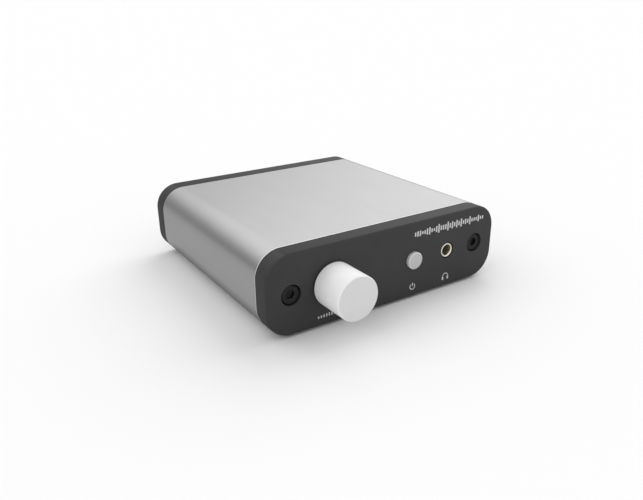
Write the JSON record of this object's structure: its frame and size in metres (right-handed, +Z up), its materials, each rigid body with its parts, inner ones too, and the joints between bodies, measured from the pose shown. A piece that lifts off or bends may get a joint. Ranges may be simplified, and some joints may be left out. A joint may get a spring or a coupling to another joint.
{
  "type": "headphone amplifier",
  "caption": "Small desktop headphone amplifier: an aluminium sleeve between black end panels, with a volume knob, a power button and a headphone jack in front and its inputs behind.",
  "frame": {"origin": "on the surface the feet stand on, under the middle of the whole object, knob and rear sockets included", "axes": "+Z up, -Y towards the front panel's face, +X to the right as seen from the front"},
  "size_m": [0.089, 0.1066, 0.0264],
  "materials": {
    "satin_aluminium": "fine satin, clear anodised",
    "bright_aluminium": "fine turned, clear anodised",
    "black_panel": "satin black",
    "black_steel": "black oxide",
    "rubber": "matt",
    "gold_plate": "gold plated",
    "steel": "nickel plated",
    "black_plastic": "moulded",
    "white_plastic": "moulded",
    "red_plastic": "moulded",
    "board_green": "solder mask",
    "capacitor_sleeve": "shrink sleeve"
  },
  "bodies": {
    "case": {"sleeve": "satin_aluminium", "front_panel": "black_panel", "rear_panel": "black_panel", "front_screw_left": "black_steel", "front_screw_right": "black_steel", "rear_screw_left": "black_steel", "rear_screw_right": "black_steel", "front_foot_left": "rubber", "front_foot_right": "rubber", "rear_foot_left": "rubber", "rear_foot_right": "rubber", "pot_front_plate": "steel", "pot_housing": "black_plastic", "power_switch_housing": "black_plastic", "power_spring": "steel", "jack_ferrule": "gold_plate", "jack_housing": "black_plastic", "jack_tip_contact": "gold_plate", "jack_ring_contact": "gold_plate", "usb_shell": "steel", "usb_insulator": "black_plastic", "usb_contact_1": "gold_plate", "usb_contact_2": "gold_plate", "usb_contact_3": "gold_plate", "usb_contact_4": "gold_plate", "optical_housing": "black_plastic", "optical_receiver": "black_plastic", "shutter_pin": "steel", "phono_block": "black_plastic", "phono_left_shell": "gold_plate", "phono_left_insulator": "white_plastic", "phono_left_contact": "gold_plate", "phono_left_collar": "white_plastic", "phono_right_shell": "gold_plate", "phono_right_insulator": "red_plastic", "phono_right_contact": "gold_plate", "phono_right_collar": "red_plastic", "circuit_board": "board_green", "usb_receiver_chip": "black_plastic", "optical_receiver_chip": "black_plastic", "converter_chip": "black_plastic", "headphone_driver_chip": "black_plastic", "voltage_regulator": "black_plastic", "output_capacitor_left": "capacitor_sleeve", "output_capacitor_right": "capacitor_sleeve", "supply_capacitor_1": "capacitor_sleeve", "supply_capacitor_2": "capacitor_sleeve", "supply_capacitor_3": "capacitor_sleeve", "supply_capacitor_4": "capacitor_sleeve", "clock_crystal": "steel"},
    "volume": {"volume_knob": "bright_aluminium", "knob_insert": "black_plastic", "volume_shaft": "steel", "pot_wiper": "white_plastic"},
    "power": {"power_button": "bright_aluminium", "power_plunger": "white_plastic"},
    "shutter": {"optical_shutter": "black_plastic", "shutter_spring": "steel"}
  },
  "joints": [
    {"name": "volume_turn", "type": "hinge", "parent": "case", "child": "volume", "pos_m": [-0.0218, -0.0407, 0.0136], "axis": [0, 1, 0], "range_deg": [-150, 150]},
    {"name": "power_press", "type": "slide", "parent": "case", "child": "power", "axis": [0, 1, 0], "range_m": [0, 0.0009], "stiffness_N_per_m": 1200, "springref_m": -0.0005, "deforming": ["power_spring"]},
    {"name": "shutter_swing", "type": "hinge", "parent": "case", "child": "shutter", "pos_m": [-0.0055, 0.0427, 0.0174], "axis": [-1, 0, 0], "range_deg": [0, 88], "stiffness_Nm_per_rad": 0.00005, "springref_deg": -20.05}
  ]
}
